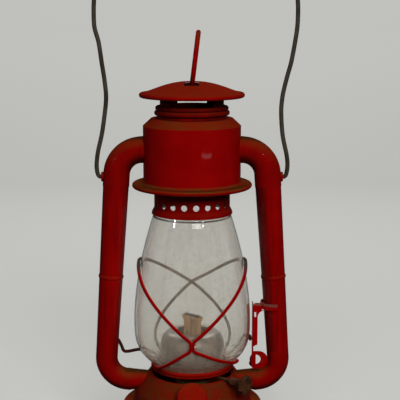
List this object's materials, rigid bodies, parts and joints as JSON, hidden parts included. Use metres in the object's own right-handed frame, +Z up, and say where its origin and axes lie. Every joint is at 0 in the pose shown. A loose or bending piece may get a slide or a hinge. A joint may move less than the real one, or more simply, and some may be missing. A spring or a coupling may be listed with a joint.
{
  "type": "kerosene lantern",
  "caption": "Red enamelled kerosene lantern with round fuel tank, two air tubes, drum canopy, lifting hood, glass globe with wire guard, wick burner and swinging wire bail.",
  "frame": {"origin": "centre of the base, on the surface that the lantern stands on", "axes": "+Z up along the lantern's axis, +X to the side with the lift lever, -Y to the front with the filler cap"},
  "size_m": [0.17, 0.119, 0.4558],
  "materials": {
    "red_enamel": "glossy dark red enamel, dusty and rusted on upward faces",
    "bare_wire": "bare steel wire, dulled",
    "aged_brass": "aged brass",
    "sooty_brass": "brass darkened by soot and dust",
    "rusty_steel": "rusted steel",
    "clear_glass": "clear glass, lightly dusty",
    "wick_cotton": "woven cotton",
    "cork": "cork"
  },
  "bodies": {
    "frame": {"fount_body": "red_enamel", "fount_bottom": "red_enamel", "fount_dome": "red_enamel", "air_chamber": "red_enamel", "filler_neck": "red_enamel", "burner_collar": "aged_brass", "burner_body": "aged_brass", "burner_gallery": "sooty_brass", "burner_cone": "sooty_brass", "wick_tube": "aged_brass", "wick_bushing": "aged_brass", "lower_elbow_left": "red_enamel", "lower_elbow_right": "red_enamel", "side_tube_left": "red_enamel", "side_tube_right": "red_enamel", "upper_elbow_left": "red_enamel", "upper_elbow_right": "red_enamel", "bail_ears": "red_enamel", "canopy_drum": "red_enamel", "canopy_brim": "red_enamel", "hood_spring": "bare_wire"},
    "globe_carriage": {"globe": "clear_glass", "globe_plate": "red_enamel", "guard_ring": "red_enamel", "guard_wire_left": "red_enamel", "guard_wire_right": "red_enamel", "guide_wire": "red_enamel", "lift_arm": "red_enamel", "lift_lever": "red_enamel", "lift_loop": "red_enamel"},
    "hood": {"globe_collar": "red_enamel", "chimney_tube": "red_enamel", "hood_throat": "red_enamel", "hood_straps": "red_enamel", "hood_cap": "red_enamel"},
    "lifting_ring": {"lifting_ring": "red_enamel"},
    "bail": {"bail": "bare_wire"},
    "wick_drive": {"wick_shaft": "rusty_steel", "wick_sprockets": "rusty_steel", "wick_knob": "rusty_steel"},
    "wick": {"wick": "wick_cotton"},
    "cap_seal": {"cap_gasket": "cork"},
    "filler_cap": {"filler_cap": "red_enamel"}
  },
  "joints": [
    {"name": "globe_lift", "type": "slide", "parent": "frame", "child": "globe_carriage", "axis": [0, 0, 1], "range_m": [0, 0.016], "deforming": ["hood_spring"]},
    {"name": "hood_lift", "type": "slide", "parent": "globe_carriage", "child": "hood", "axis": [0, 0, 1], "range_m": [0, 0.016], "stiffness_N_per_m": 60, "springref_m": -0.02, "deforming": ["hood_spring"]},
    {"name": "ring_swing", "type": "hinge", "parent": "hood", "child": "lifting_ring", "pos_m": [0, 0, 0.30076], "axis": [0, 1, 0], "range_deg": [-43, 29]},
    {"name": "bail_swing", "type": "hinge", "parent": "frame", "child": "bail", "pos_m": [0, 0, 0.226], "axis": [1, 0, 0], "range_deg": [-160, 160]},
    {"name": "knob_turn", "type": "hinge", "parent": "frame", "child": "wick_drive", "pos_m": [-0.00302, -0.00386, 0.0597], "axis": [0.788, -0.6157, 0], "range_deg": [-100, 140]},
    {"name": "wick_raise", "type": "slide", "parent": "frame", "child": "wick", "axis": [0, 0, 1], "range_m": [-0.0057, 0.0079]},
    {"name": "cap_lift", "type": "slide", "parent": "frame", "child": "cap_seal", "axis": [0, -0.8107, 0.5855], "range_m": [0, 0.0031]},
    {"name": "cap_turn", "type": "hinge", "parent": "cap_seal", "child": "filler_cap", "pos_m": [0, -0.04415, 0.0481], "axis": [0, -0.8107, 0.5855], "range_deg": [0, 720]}
  ],
  "couplings": [
    {"joint": "wick_raise", "follows": "knob_turn", "m_per_rad": 0.0032},
    {"joint": "cap_lift", "follows": "cap_turn", "m_per_rad": 0.00023873}
  ]
}
